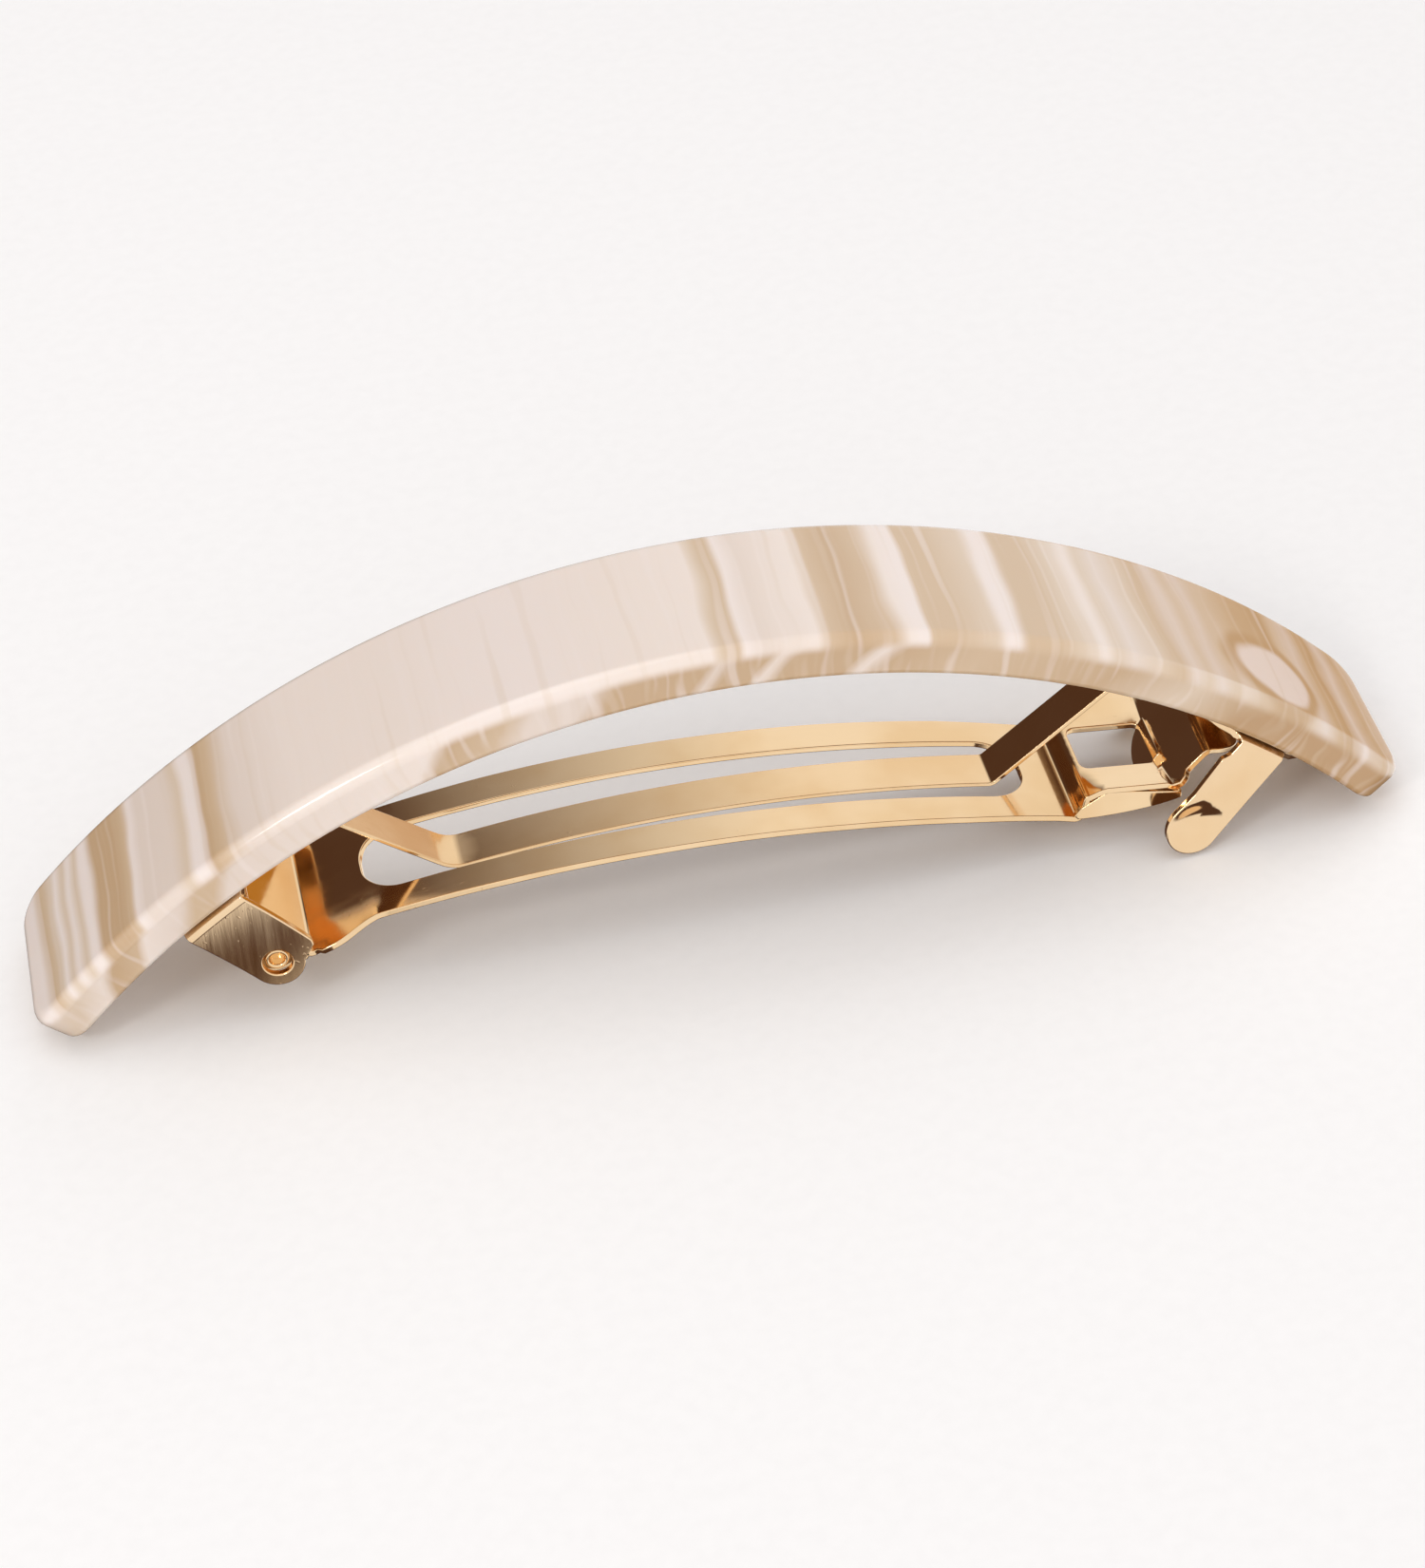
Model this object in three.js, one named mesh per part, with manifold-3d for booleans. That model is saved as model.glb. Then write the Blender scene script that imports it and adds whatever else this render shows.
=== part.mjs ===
// Arched hair barrette: a marbled acetate bar bonded to a sprung snap clasp.
// Millimetres, +Z up, +X along the bar towards the catch, +Y across it, origin under the middle
// of the part, on the plane that the prong tips touch.
// Every piece is first drawn in a working frame whose zero is the bar's outer apex.

import * as THREE from 'three';
import { mergeVertices } from 'three/addons/utils/BufferGeometryUtils.js';
import Module from 'manifold-3d';

const wasm = await Module();
wasm.setup();

// ---------------------------------------------------------------- driving dimensions

const BAR = {
  radius: 59.9, length: 101.6, width: 12.7, thickness: 3.0,
  topRound: 0.9, bottomRound: 0.5, cornerRadius: 2.5,
};
const APEX_HEIGHT = 22.45;                // outer apex above the plane of the prong tips
const BOND = { gap: 0.05, thickness: 0.2, halfWidth: 3.6 };
const PLATE = {
  thickness: 0.5, halfWidth: 4.5, wideHalf: 6.1, startArc: -42.6, endArc: 46.0, endHalf: 3.4,
};
const PIVOT = { x: -29.05, z: -17.95, earHole: 0.95, pipOuter: 0.78, pipInner: 0.48 };
const EAR = { lobe: 1.75, startArc: -39.2, endArc: -34.3 };
const PRONG = { startArc: 37.7, endArc: 42.0, tipX: 30.1, tipZ: -20.6, tipRadius: 1.85, flare: 7 };
const DIMPLE = { x: 30.35, z: -19.8, long: 1.5, short: 0.9, press: 0.8, tilt: 9 };
const SPRING = { thickness: 0.3, halfWidth: 1.55, headHalf: 2.2, radius: 105, crownX: -3, crownZ: -15.93 };
const ARM = { thickness: 0.45, radius: 103, crownX: -5.9, crownZ: -15.23 };
const SLOT = { startX: -22.8, endX: 20.4, halfWidth: 2.87, corner: 2.5 };
const WINDOW = { startX: 24.0, endX: 29.1, halfWidth: 2.1, corner: 0.6 };

// ---------------------------------------------------------------- derived radii and helpers

const BAR_INNER = BAR.radius - BAR.thickness;
const BOND_TOP = BAR_INNER - BOND.gap;
const PLATE_TOP = BOND_TOP - BOND.thickness - BOND.gap;
const PLATE_UNDER = PLATE_TOP - PLATE.thickness;
const DEG = Math.PI / 180;

// Point of the side view (x, z) on a circle about the bar's centre of curvature. The place along
// the bar is given as an arc length measured on its outer face.
function onArc(radius, arcLength) {
  const angle = arcLength / BAR.radius;
  return new THREE.Vector2(radius * Math.sin(angle), radius * Math.cos(angle) - BAR.radius);
}

function arcPoints(radius, from, to, steps) {
  return Array.from({ length: steps + 1 }, (_, i) => onArc(radius, from + (to - from) * i / steps));
}

// Height of a shallow circular crown at a given x.
function crown({ radius, crownX, crownZ }, x) {
  return crownZ - radius + Math.sqrt(radius ** 2 - (x - crownX) ** 2);
}

function crownPoints(piece, from, to, steps) {
  return Array.from({ length: steps + 1 }, (_, i) => {
    const x = from + (to - from) * i / steps;
    return new THREE.Vector2(x, crown(piece, x));
  });
}

// Replaces each marked corner of a polyline by a short arc, as a press tool leaves it.
function bend(before, corner, after, radius, steps = 4) {
  const start = before.clone().sub(corner).normalize();
  const end = after.clone().sub(corner).normalize();
  const reach = radius / Math.tan(Math.acos(start.dot(end)) / 2);
  const a = corner.clone().addScaledVector(start, reach);
  const b = corner.clone().addScaledVector(end, reach);
  const curve = new THREE.QuadraticBezierCurve(a, corner, b);
  return curve.getPoints(steps);
}

// Side view of a bent sheet: the upper face's line, and the same line offset down by its thickness.
function sheet(upper, thickness) {
  const lower = upper.map((point, i) => {
    const before = upper[Math.max(i - 1, 0)];
    const after = upper[Math.min(i + 1, upper.length - 1)];
    const into = point.clone().sub(before).normalize();
    const out = after.clone().sub(point).normalize();
    if (i === 0) into.copy(out);
    if (i === upper.length - 1) out.copy(into);
    const along = into.add(out).normalize();
    const spread = Math.max(along.dot(out), 0.5);
    return new THREE.Vector2(point.x + along.y * thickness / spread,
      point.y - along.x * thickness / spread);
  });
  return new THREE.Shape([...upper, ...lower.reverse()]);
}

function solid(geometry) {
  geometry.deleteAttribute('normal');
  geometry.deleteAttribute('uv');
  const merged = mergeVertices(geometry, 1e-5);
  return new wasm.Manifold(new wasm.Mesh({
    numProp: 3,
    vertProperties: new Float32Array(merged.attributes.position.array),
    triVerts: new Uint32Array(merged.index.array),
  }));
}

// A side-view shape (x, z) swept along Y, and a plan shape (x, y) swept along Z.
function alongY(shape, y0, y1) {
  const geometry = new THREE.ExtrudeGeometry(shape, { depth: y1 - y0, bevelEnabled: false, curveSegments: 10 });
  return solid(geometry.rotateX(Math.PI / 2).translate(0, y1, 0));
}

function alongZ(shape, z0, z1) {
  const geometry = new THREE.ExtrudeGeometry(shape, { depth: z1 - z0, bevelEnabled: false, curveSegments: 10 });
  return solid(geometry.translate(0, 0, z0));
}

// An end-view shape (y, z) swept along X.
function alongX(shape, x0, x1) {
  const geometry = new THREE.ExtrudeGeometry(shape, { depth: x1 - x0, bevelEnabled: false, curveSegments: 6 });
  return solid(geometry.rotateX(Math.PI / 2).rotateZ(Math.PI / 2).translate(x0, 0, 0));
}

function plan(shape) {
  return alongZ(shape, -40, 5);
}

// Plan outline from its +Y half, listed from left to right; the other half is its mirror image.
function symmetricOutline(half) {
  const mirrored = half.map((point) => new THREE.Vector2(point.x, -point.y)).reverse();
  return new THREE.Shape([...half, ...mirrored]);
}

function roundedRectangle(x0, x1, halfWidth, radius) {
  const shape = new THREE.Shape();
  shape.moveTo(x0 + radius, -halfWidth);
  shape.lineTo(x1 - radius, -halfWidth);
  shape.absarc(x1 - radius, -halfWidth + radius, radius, -Math.PI / 2, 0);
  shape.absarc(x1 - radius, halfWidth - radius, radius, 0, Math.PI / 2);
  shape.absarc(x0 + radius, halfWidth - radius, radius, Math.PI / 2, Math.PI);
  shape.absarc(x0 + radius, -halfWidth + radius, radius, Math.PI, Math.PI * 1.5);
  return shape;
}

function cylinderAlongY(radius, y0, y1, x, z, segments = 32) {
  const geometry = new THREE.CylinderGeometry(radius, radius, y1 - y0, segments);
  return solid(geometry.translate(x, (y0 + y1) / 2, z));
}

function points(...pairs) {
  return pairs.map(([x, y]) => new THREE.Vector2(x, y));
}

function node(name, body, { color, roughness, metalness }) {
  const mesh = body.getMesh();
  const geometry = new THREE.BufferGeometry();
  geometry.setAttribute('position', new THREE.BufferAttribute(new Float32Array(mesh.vertProperties), 3));
  geometry.setIndex(new THREE.BufferAttribute(new Uint32Array(mesh.triVerts), 1));
  geometry.computeVertexNormals();
  const piece = new THREE.Mesh(geometry, new THREE.MeshStandardMaterial({ color, roughness, metalness }));
  piece.name = name;
  return piece;
}

// ---------------------------------------------------------------- materials

const ACETATE = { color: '#e2d4c6', roughness: 0.25, metalness: 0 };
const CEMENT = { color: '#d8d2c4', roughness: 0.5, metalness: 0 };
const GOLD = { color: '#d9b37c', roughness: 0.2, metalness: 1 };
const SPRING_GOLD = { color: '#d2a96e', roughness: 0.25, metalness: 1 };
const ARM_GOLD = { color: '#dcb681', roughness: 0.18, metalness: 1 };

// ---------------------------------------------------------------- acetate bar

// Quarter circle of an edge rounding, in section (radius, y).
function edgeArc(cx, cy, radius, from) {
  return Array.from({ length: 5 }, (_, i) => {
    const angle = (from + i * 22.5) * DEG;
    return new THREE.Vector2(cx + radius * Math.cos(angle), cy + radius * Math.sin(angle));
  });
}

// The bar is a piece of a ring about Y, cut to its length, with its four plan corners rounded.
function acetateBar() {
  const half = BAR.width / 2;
  const { topRound, bottomRound, radius } = BAR;
  const section = [
    ...edgeArc(radius - topRound, half - topRound, topRound, 0),
    ...edgeArc(BAR_INNER + bottomRound, half - bottomRound, bottomRound, 90),
    ...edgeArc(BAR_INNER + bottomRound, -half + bottomRound, bottomRound, 180),
    ...edgeArc(radius - topRound, -half + topRound, topRound, 270),
  ];
  section.push(section[0].clone());
  const ring = solid(new THREE.LatheGeometry(section, 200).translate(0, 0, -radius));
  const reach = 90;
  const halfAngle = BAR.length / 2 / radius;
  const sector = new THREE.Shape(points(
    [0, -radius], [reach * Math.sin(halfAngle), reach * Math.cos(halfAngle) - radius], [0, reach],
    [-reach * Math.sin(halfAngle), reach * Math.cos(halfAngle) - radius]));
  let bar = ring.intersect(alongY(sector, -10, 10));
  for (const end of [-1, 1]) {
    for (const side of [-1, 1]) bar = bar.subtract(cornerCutter(end, side));
  }
  return bar;
}

// What is left of a square corner outside its quarter circle, as a bar along the local radius.
function cornerCutter(end, side) {
  const r = BAR.cornerRadius;
  const overshoot = 1;
  const shape = new THREE.Shape();
  shape.moveTo(overshoot, -r);
  shape.lineTo(overshoot, overshoot);
  shape.lineTo(-r, overshoot);
  shape.lineTo(-r, 0);
  shape.absarc(-r, -r, r, Math.PI / 2, 0, true);
  const geometry = new THREE.ExtrudeGeometry(shape, { depth: 10, bevelEnabled: false, curveSegments: 8 });
  geometry.translate(0, 0, -5);
  let cutter = solid(geometry);
  if (end * side < 0) cutter = cutter.mirror([0, 1, 0]);
  if (end < 0) cutter = cutter.rotate([0, 0, 180]);
  const angle = end * BAR.length / 2 / BAR.radius;
  const corner = onArc(BAR.radius - BAR.thickness / 2, end * BAR.length / 2);
  return cutter.rotate([0, angle / DEG, 0]).translate([corner.x, side * BAR.width / 2, corner.y]);
}

// ---------------------------------------------------------------- bond between bar and clasp

function bondFilm() {
  const strip = sheet(arcPoints(BOND_TOP, -40, 42, 60), BOND.thickness);
  return alongY(strip, -BOND.halfWidth, BOND.halfWidth);
}

// ---------------------------------------------------------------- base plate

// Plan of the base strip: narrow between its ends, full width where ears and prongs fold down.
function platePlan() {
  const { halfWidth, wideHalf, startArc, endArc, endHalf } = PLATE;
  const at = (arc) => onArc(PLATE_UNDER, arc).x;
  return symmetricOutline(points(
    [at(startArc), 0], [at(startArc), endHalf - 1.2], [at(startArc + 0.5), endHalf],
    [at(EAR.startArc - 0.4), halfWidth], [at(EAR.startArc), wideHalf], [at(EAR.endArc), wideHalf],
    [at(EAR.endArc + 0.5), halfWidth], [at(PRONG.startArc - 2.2), halfWidth],
    [at(PRONG.startArc - 1), wideHalf], [at(PRONG.endArc + 0.3), wideHalf],
    [at(PRONG.endArc + 1.2), wideHalf - 1.1], [at(endArc - 0.7), endHalf], [at(endArc), endHalf - 1.2],
    [at(endArc), 0]));
}

// Hinge ear, flat in the side view, leaning towards the middle of the clasp.
function earShape() {
  const roots = [onArc(PLATE_UNDER + 0.2, EAR.startArc), onArc(PLATE_UNDER + 0.2, EAR.endArc)];
  const shape = new THREE.Shape();
  shape.moveTo(roots[0].x, roots[0].y);
  shape.lineTo(PIVOT.x - EAR.lobe * Math.SQRT1_2, PIVOT.z - EAR.lobe * Math.SQRT1_2);
  shape.absarc(PIVOT.x, PIVOT.z, EAR.lobe, -135 * DEG, 0, false);
  shape.lineTo(PIVOT.x + 2.4, PIVOT.z + 0.95);
  shape.lineTo(PIVOT.x + 2.3, PIVOT.z + 1.35);
  shape.lineTo(roots[1].x, roots[1].y);
  return shape;
}

// Catch prong, flat in the side view, square to the plate, with a rounded tip.
function prongShape() {
  const [left, right] = [onArc(PLATE_UNDER + 0.2, PRONG.startArc + 0.6), onArc(PLATE_UNDER + 0.2, PRONG.endArc)];
  const lean = Math.atan2(right.x - PRONG.tipX - PRONG.tipRadius * 0.8, right.y - PRONG.tipZ);
  const shape = new THREE.Shape();
  shape.moveTo(left.x, left.y);
  shape.lineTo(left.x - 0.5, left.y - 0.7);
  shape.lineTo(left.x - 1.4, left.y - 1.0);
  shape.lineTo(left.x - 3.3, left.y - 3.2);
  shape.lineTo(PRONG.tipX - PRONG.tipRadius * Math.cos(lean), PRONG.tipZ + PRONG.tipRadius * Math.sin(lean));
  shape.absarc(PRONG.tipX, PRONG.tipZ, PRONG.tipRadius, Math.PI - lean, 2 * Math.PI - lean, false);
  shape.lineTo(right.x, right.y);
  return shape;
}

// Long dimple pressed into a prong: a bump on its inner face, a hollow on its outer one.
function dimple(side, depth, scale) {
  const geometry = new THREE.SphereGeometry(1, 24, 12);
  geometry.scale(DIMPLE.long * scale, depth, DIMPLE.short * scale);
  geometry.rotateY(DIMPLE.tilt * DEG);
  return solid(geometry).translate([DIMPLE.x, side, DIMPLE.z]);
}

// One prong with its dimple, flared outwards about its fold line.
function catchProng(side, y0, y1) {
  const [inner, outer] = side > 0 ? [y0, y1] : [y1, y0];
  const flat = alongY(prongShape(), y0, y1)
    .add(dimple(inner, DIMPLE.press, 1))
    .subtract(dimple(outer, DIMPLE.press, 0.85));
  const root = onArc(PLATE_UNDER + 0.2, (PRONG.startArc + PRONG.endArc) / 2);
  const slope = (PRONG.startArc + PRONG.endArc) / 2 / BAR.radius / DEG;
  return flat.translate([-root.x, -outer, -root.y]).rotate([0, -slope, 0])
    .rotate([side * PRONG.flare, 0, 0]).rotate([0, slope, 0]).translate([root.x, outer, root.y]);
}

// Lanced strap that holds an end of the leaf spring against the plate.
function springStrap(arc) {
  const width = 0.9;
  const drop = SPRING.thickness + 0.25;
  const section = sheet(arcPoints(PLATE_UNDER + 0.15, arc - width, arc + width, 3), drop + 0.55);
  const tunnel = sheet(arcPoints(PLATE_UNDER + 0.08, arc - 2.1, arc + 2.1, 4), drop + 0.08);
  return alongY(section, -2.5, 2.5).subtract(alongY(tunnel, -2.0, 2.0));
}

function basePlate() {
  const { wideHalf, thickness, startArc, endArc } = PLATE;
  const strip = sheet(arcPoints(PLATE_TOP, startArc, endArc, 64), thickness);
  let plate = alongY(strip, -wideHalf, wideHalf).intersect(plan(platePlan()));
  const earHole = cylinderAlongY(PIVOT.earHole, -10, 10, PIVOT.x, PIVOT.z);
  for (const side of [-1, 1]) {
    const inner = side * (wideHalf - thickness);
    const [y0, y1] = [inner, side * wideHalf].sort((a, b) => a - b);
    const ear = alongY(earShape(), y0, y1).subtract(earHole);
    plate = plate.add(ear).add(catchProng(side, y0, y1));
  }
  return plate.add(springStrap(-30.8)).add(springStrap(33.0));
}

// ---------------------------------------------------------------- leaf spring

const SPRING_LINE = springLine();

// Upper face of the leaf: both ends lie on the plate, the bow dips into the arm's slot.
function springLine() {
  const seat = PLATE_UNDER - 0.05;
  const left = arcPoints(seat, -34.4, -28.6, 5);
  const right = arcPoints(seat, 30.6, 36.6, 5);
  const bow = crownPoints(SPRING, -15.6, 17.4, 14);
  const [leftFold, rightFold] = [
    new THREE.Vector2(-17.0, crown(SPRING, -17.0)), new THREE.Vector2(18.2, crown(SPRING, 18.2))];
  return [
    ...left,
    ...bend(left.at(-1), leftFold, bow[0], 2.2, 5),
    ...bow,
    ...bend(bow.at(-1), rightFold, right[0], 0.5, 3),
    ...right,
  ];
}

function leafSpring() {
  const { thickness, halfWidth, headHalf } = SPRING;
  const [x0, x1] = [SPRING_LINE[0].x - 1, SPRING_LINE.at(-1).x + 1];
  const neck = [onArc(PLATE_UNDER, -32.8).x, onArc(PLATE_UNDER, 35.0).x];
  const outline = symmetricOutline(points(
    [x0, headHalf], [neck[0], headHalf], [neck[0] + 0.4, halfWidth],
    [neck[1] - 0.4, halfWidth], [neck[1], headHalf], [x1, headHalf]));
  return alongY(sheet(SPRING_LINE, thickness), -headHalf, headHalf).intersect(plan(outline));
}

// ---------------------------------------------------------------- clasp arm

// Upper face of the arm: heel, hinge plate, long crowned rails, joggle, head, rising end and lip.
function armLine() {
  const heel = new THREE.Vector2(-30.2, -14.55);
  const hingeBend = new THREE.Vector2(-26.9, -18.4);
  const rails = crownPoints(ARM, -22.0, 21.5, 22);
  const [neck, joggle] = [
    new THREE.Vector2(-22.5, crown(ARM, -22.5)), new THREE.Vector2(22.2, crown(ARM, 22.2))];
  const [headStart, headEnd] = points([24.9, -17.4], [29.25, -18.37]);
  const [riseEnd, lipEnd] = points([31.8, -16.35], [34.4, -17.15]);
  return [
    heel,
    ...bend(heel, hingeBend, neck, 0.3, 4),
    ...bend(hingeBend, neck, rails[1], 2, 3),
    ...rails.slice(1, -1),
    ...bend(rails.at(-2), joggle, headStart, 0.35, 3),
    ...bend(joggle, headStart, headEnd, 1.0, 3),
    ...bend(headStart, headEnd, riseEnd, 0.3, 3),
    ...bend(headEnd, riseEnd, lipEnd, 0.9, 3),
    lipEnd,
  ];
}

// Plan of the arm: wide hinge plate with a rounded shoulder, slim rails, head and narrowed lip.
function armPlan() {
  const shoulder = new THREE.CubicBezierCurve(...points([-25.6, 5.75], [-24.2, 5.75], [-23.9, 5.1], [-22.2, 5.1]));
  const lipEnd = new THREE.CubicBezierCurve(...points([32.4, 4.0], [33.4, 3.9], [34.4, 3.4], [34.4, 2.2]));
  return symmetricOutline([
    ...points([-31, 5.4], [-26.5, 5.4], [-26.5, 5.75]),
    ...shoulder.getPoints(8),
    ...points([-14, 5.3], [-5, 5.4], [8, 5.35], [16, 5.2], [21.8, 4.9], [24.5, 5.05], [30.0, 5.05], [30.4, 4.35]),
    new THREE.Vector2(31.8, 4.15),
    ...lipEnd.getPoints(6),
    new THREE.Vector2(34.4, 0),
  ]);
}

// Side tab that carries a hinge pip: it hangs from the heel and rounds off about the pivot.
function tabShape() {
  const radius = 1.5;
  const shape = new THREE.Shape();
  shape.moveTo(-26.9, -18.55);
  shape.lineTo(-29.5, -15.5);
  shape.lineTo(-30.15, -16.1);
  shape.lineTo(PIVOT.x - radius, PIVOT.z);
  shape.absarc(PIVOT.x, PIVOT.z, radius, Math.PI, 1.5 * Math.PI, false);
  shape.lineTo(-27.2, -18.95);
  return shape;
}

// Side wall folded down along the head's rail, deepest beside the window.
function flangeShape() {
  const lower = new THREE.CubicBezierCurve(...points([22.5, -19.45], [24, -19.65], [27.5, -19.8], [29.9, -19.2]));
  const shape = new THREE.Shape([...lower.getPoints(8), ...points([29.9, -18.7], [25.0, -17.65], [23.2, -18.65])]);
  return shape;
}

// Rounded tab folded down out of the window, from its far end.
function thumbTab() {
  const [top, foot] = points([29.3, -18.5], [28.65, -20.75]);
  const halfWidth = 1.95;
  const outline = new THREE.Shape();
  outline.moveTo(halfWidth, -18);
  outline.lineTo(-halfWidth, -18);
  outline.lineTo(-halfWidth, -19.2);
  outline.bezierCurveTo(-halfWidth, -20.2, -1.0, -20.7, 0, -20.7);
  outline.bezierCurveTo(1.0, -20.7, halfWidth, -20.2, halfWidth, -19.2);
  return alongY(sheet([top, foot], ARM.thickness), -3, 3).intersect(alongX(outline, 25, 31));
}

function claspArm() {
  let arm = alongY(sheet(armLine(), ARM.thickness), -6, 6).intersect(plan(armPlan()));
  arm = arm.subtract(plan(roundedRectangle(SLOT.startX, SLOT.endX, SLOT.halfWidth, SLOT.corner)));
  arm = arm.subtract(plan(roundedRectangle(WINDOW.startX, WINDOW.endX, WINDOW.halfWidth, WINDOW.corner)));
  const hollow = cylinderAlongY(PIVOT.pipInner, -10, 10, PIVOT.x, PIVOT.z, 24);
  for (const side of [-1, 1]) {
    const span = (near, far) => [side * near, side * far].sort((a, b) => a - b);
    arm = arm.add(alongY(tabShape(), ...span(4.9, 5.4)));
    arm = arm.add(cylinderAlongY(PIVOT.pipOuter, ...span(5.0, 6.05), PIVOT.x, PIVOT.z));
    arm = arm.add(alongY(flangeShape(), ...span(4.6, 5.05)));
  }
  return arm.add(thumbTab()).subtract(hollow);
}

// ---------------------------------------------------------------- assembly

const barrette = new THREE.Group();
barrette.position.z = APEX_HEIGHT;
barrette.add(
  node('acetate_bar', acetateBar(), ACETATE),
  node('bond_film', bondFilm(), CEMENT),
  node('base_plate', basePlate(), GOLD),
  node('leaf_spring', leafSpring(), SPRING_GOLD),
  node('clasp_arm', claspArm(), ARM_GOLD),
);

const group = new THREE.Group();
group.add(barrette);

export default group;
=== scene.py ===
"""Arched hair barrette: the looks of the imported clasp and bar, with floor, studio light and camera.

Pieces are laid out in millimetres in a working frame whose zero is the bar's outer apex, with +X
along the bar towards the catch, +Y across it and +Z up. world_points() turns that into metres in
the row's own frame.
"""

import math

import bpy
import numpy as np
from mathutils import Matrix, Vector
from mathutils.geometry import delaunay_2d_cdt


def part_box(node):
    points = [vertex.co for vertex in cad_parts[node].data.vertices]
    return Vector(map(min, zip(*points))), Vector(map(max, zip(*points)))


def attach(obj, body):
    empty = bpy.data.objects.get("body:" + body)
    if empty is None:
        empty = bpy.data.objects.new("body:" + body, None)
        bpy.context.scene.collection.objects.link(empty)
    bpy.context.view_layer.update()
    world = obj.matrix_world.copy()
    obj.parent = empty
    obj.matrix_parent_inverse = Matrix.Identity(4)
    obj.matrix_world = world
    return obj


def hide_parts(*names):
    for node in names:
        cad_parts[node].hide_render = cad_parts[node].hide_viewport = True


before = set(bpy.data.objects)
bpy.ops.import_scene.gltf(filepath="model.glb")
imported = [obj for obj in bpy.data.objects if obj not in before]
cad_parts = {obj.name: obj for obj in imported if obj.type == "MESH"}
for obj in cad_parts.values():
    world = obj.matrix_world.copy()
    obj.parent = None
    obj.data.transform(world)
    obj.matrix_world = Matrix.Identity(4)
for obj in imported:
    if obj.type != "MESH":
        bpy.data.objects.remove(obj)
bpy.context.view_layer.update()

# ------------------------------------------------------------------ dimensions, in millimetres

APEX_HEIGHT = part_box("acetate_bar")[1].z * 1000
BAR_RADIUS = 59.9
BAR_LENGTH = 101.6
BAR_WIDTH = 12.7
BAR_THICKNESS = 3.0

PLATE_TOP = 56.6
PLATE_THICKNESS = 0.5
PLATE_UNDER = PLATE_TOP - PLATE_THICKNESS
PLATE_WIDE_HALF = 6.1
FOLD_RADIUS = 0.55
FOLD_START = PLATE_WIDE_HALF - FOLD_RADIUS

PIVOT_X, PIVOT_Z = -29.05, -17.95
EAR_LOBE = 1.75
EAR_HOLE = 0.95
EAR_ARCS = (-39.2, -34.3)
EAR_SPRING = 0.018                        # the ears curve outwards by this many radians per mm

PRONG_ARCS = (38.3, 42.0)
PRONG_TIP_X, PRONG_TIP_Z, PRONG_TIP_RADIUS = 30.1, -20.6, 1.85
PRONG_FLARE = math.radians(7)
DIMPLE_X, DIMPLE_Z = 30.25, -20.05
DIMPLE_LONG, DIMPLE_SHORT, DIMPLE_DEPTH = 2.1, 1.6, 0.55
DIMPLE_TILT = math.radians(-9)

SPRING_THICKNESS = 0.3
SPRING_CROWN = (105, -3, -15.93)
ARM_THICKNESS = 0.45
HEAD_CHANNEL = 0.18                       # slope of the head's raised edges
ARM_CROWN = (103, -5.9, -15.23)


# ------------------------------------------------------------------ points and lines

def world_points(x, y, z):
    """Working-frame millimetres to row-frame metres, as an (n, 3) array."""
    x, y, z = np.broadcast_arrays(x, y, z)
    return np.stack([x, y, z + APEX_HEIGHT], axis=-1) / 1000


def on_arc(radius, arc):
    """Side-view point at a radius about the bar's centre, at an arc length on its outer face."""
    angle = arc / BAR_RADIUS
    return radius * math.sin(angle), radius * math.cos(angle) - BAR_RADIUS


def crown_height(crown, x):
    radius, crown_x, crown_z = crown
    return crown_z - radius + math.sqrt(radius ** 2 - (x - crown_x) ** 2)


def crown_line(crown, start, end, step=0.1):
    count = max(2, round((end - start) / step))
    return [(x, crown_height(crown, x)) for x in np.linspace(start, end, count + 1)]


def arc_line(radius, start, end, count):
    return [on_arc(radius, arc) for arc in np.linspace(start, end, count + 1)]


def soft_corner(before, corner, after, radius, steps=14):
    """The corner of a polyline as a short curve, as a press tool leaves it."""
    before, corner, after = (np.array(p, float) for p in (before, corner, after))
    start = (before - corner) / np.linalg.norm(before - corner)
    end = (after - corner) / np.linalg.norm(after - corner)
    reach = radius / math.tan(math.acos(start @ end) / 2)
    a, b = corner + start * reach, corner + end * reach
    return [tuple((1 - t) ** 2 * a + 2 * t * (1 - t) * corner + t * t * b)
            for t in np.linspace(0, 1, steps + 1)]


def circle_points(cx, cy, radius, start, end, count):
    angles = np.radians(np.linspace(start, end, count + 1))
    return [(cx + radius * math.cos(a), cy + radius * math.sin(a)) for a in angles]


def bezier_points(points, count):
    p = np.array(points, float)
    t = np.linspace(0, 1, count + 1)[:, None]
    curve = ((1 - t) ** 3 * p[0] + 3 * t * (1 - t) ** 2 * p[1]
             + 3 * t ** 2 * (1 - t) * p[2] + t ** 3 * p[3])
    return [tuple(q) for q in curve]


def rounded_slot(x0, x1, half, corner, count=10):
    """Closed outline of a rounded rectangle, anticlockwise."""
    return (circle_points(x1 - corner, -half + corner, corner, -90, 0, count)
            + circle_points(x1 - corner, half - corner, corner, 0, 90, count)
            + circle_points(x0 + corner, half - corner, corner, 90, 180, count)
            + circle_points(x0 + corner, -half + corner, corner, 180, 270, count))


def mirrored_outline(half):
    """Closed outline from its +Y half, listed from left to right."""
    return [(x, -y) for x, y in half] + [(x, y) for x, y in reversed(half)]


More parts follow.
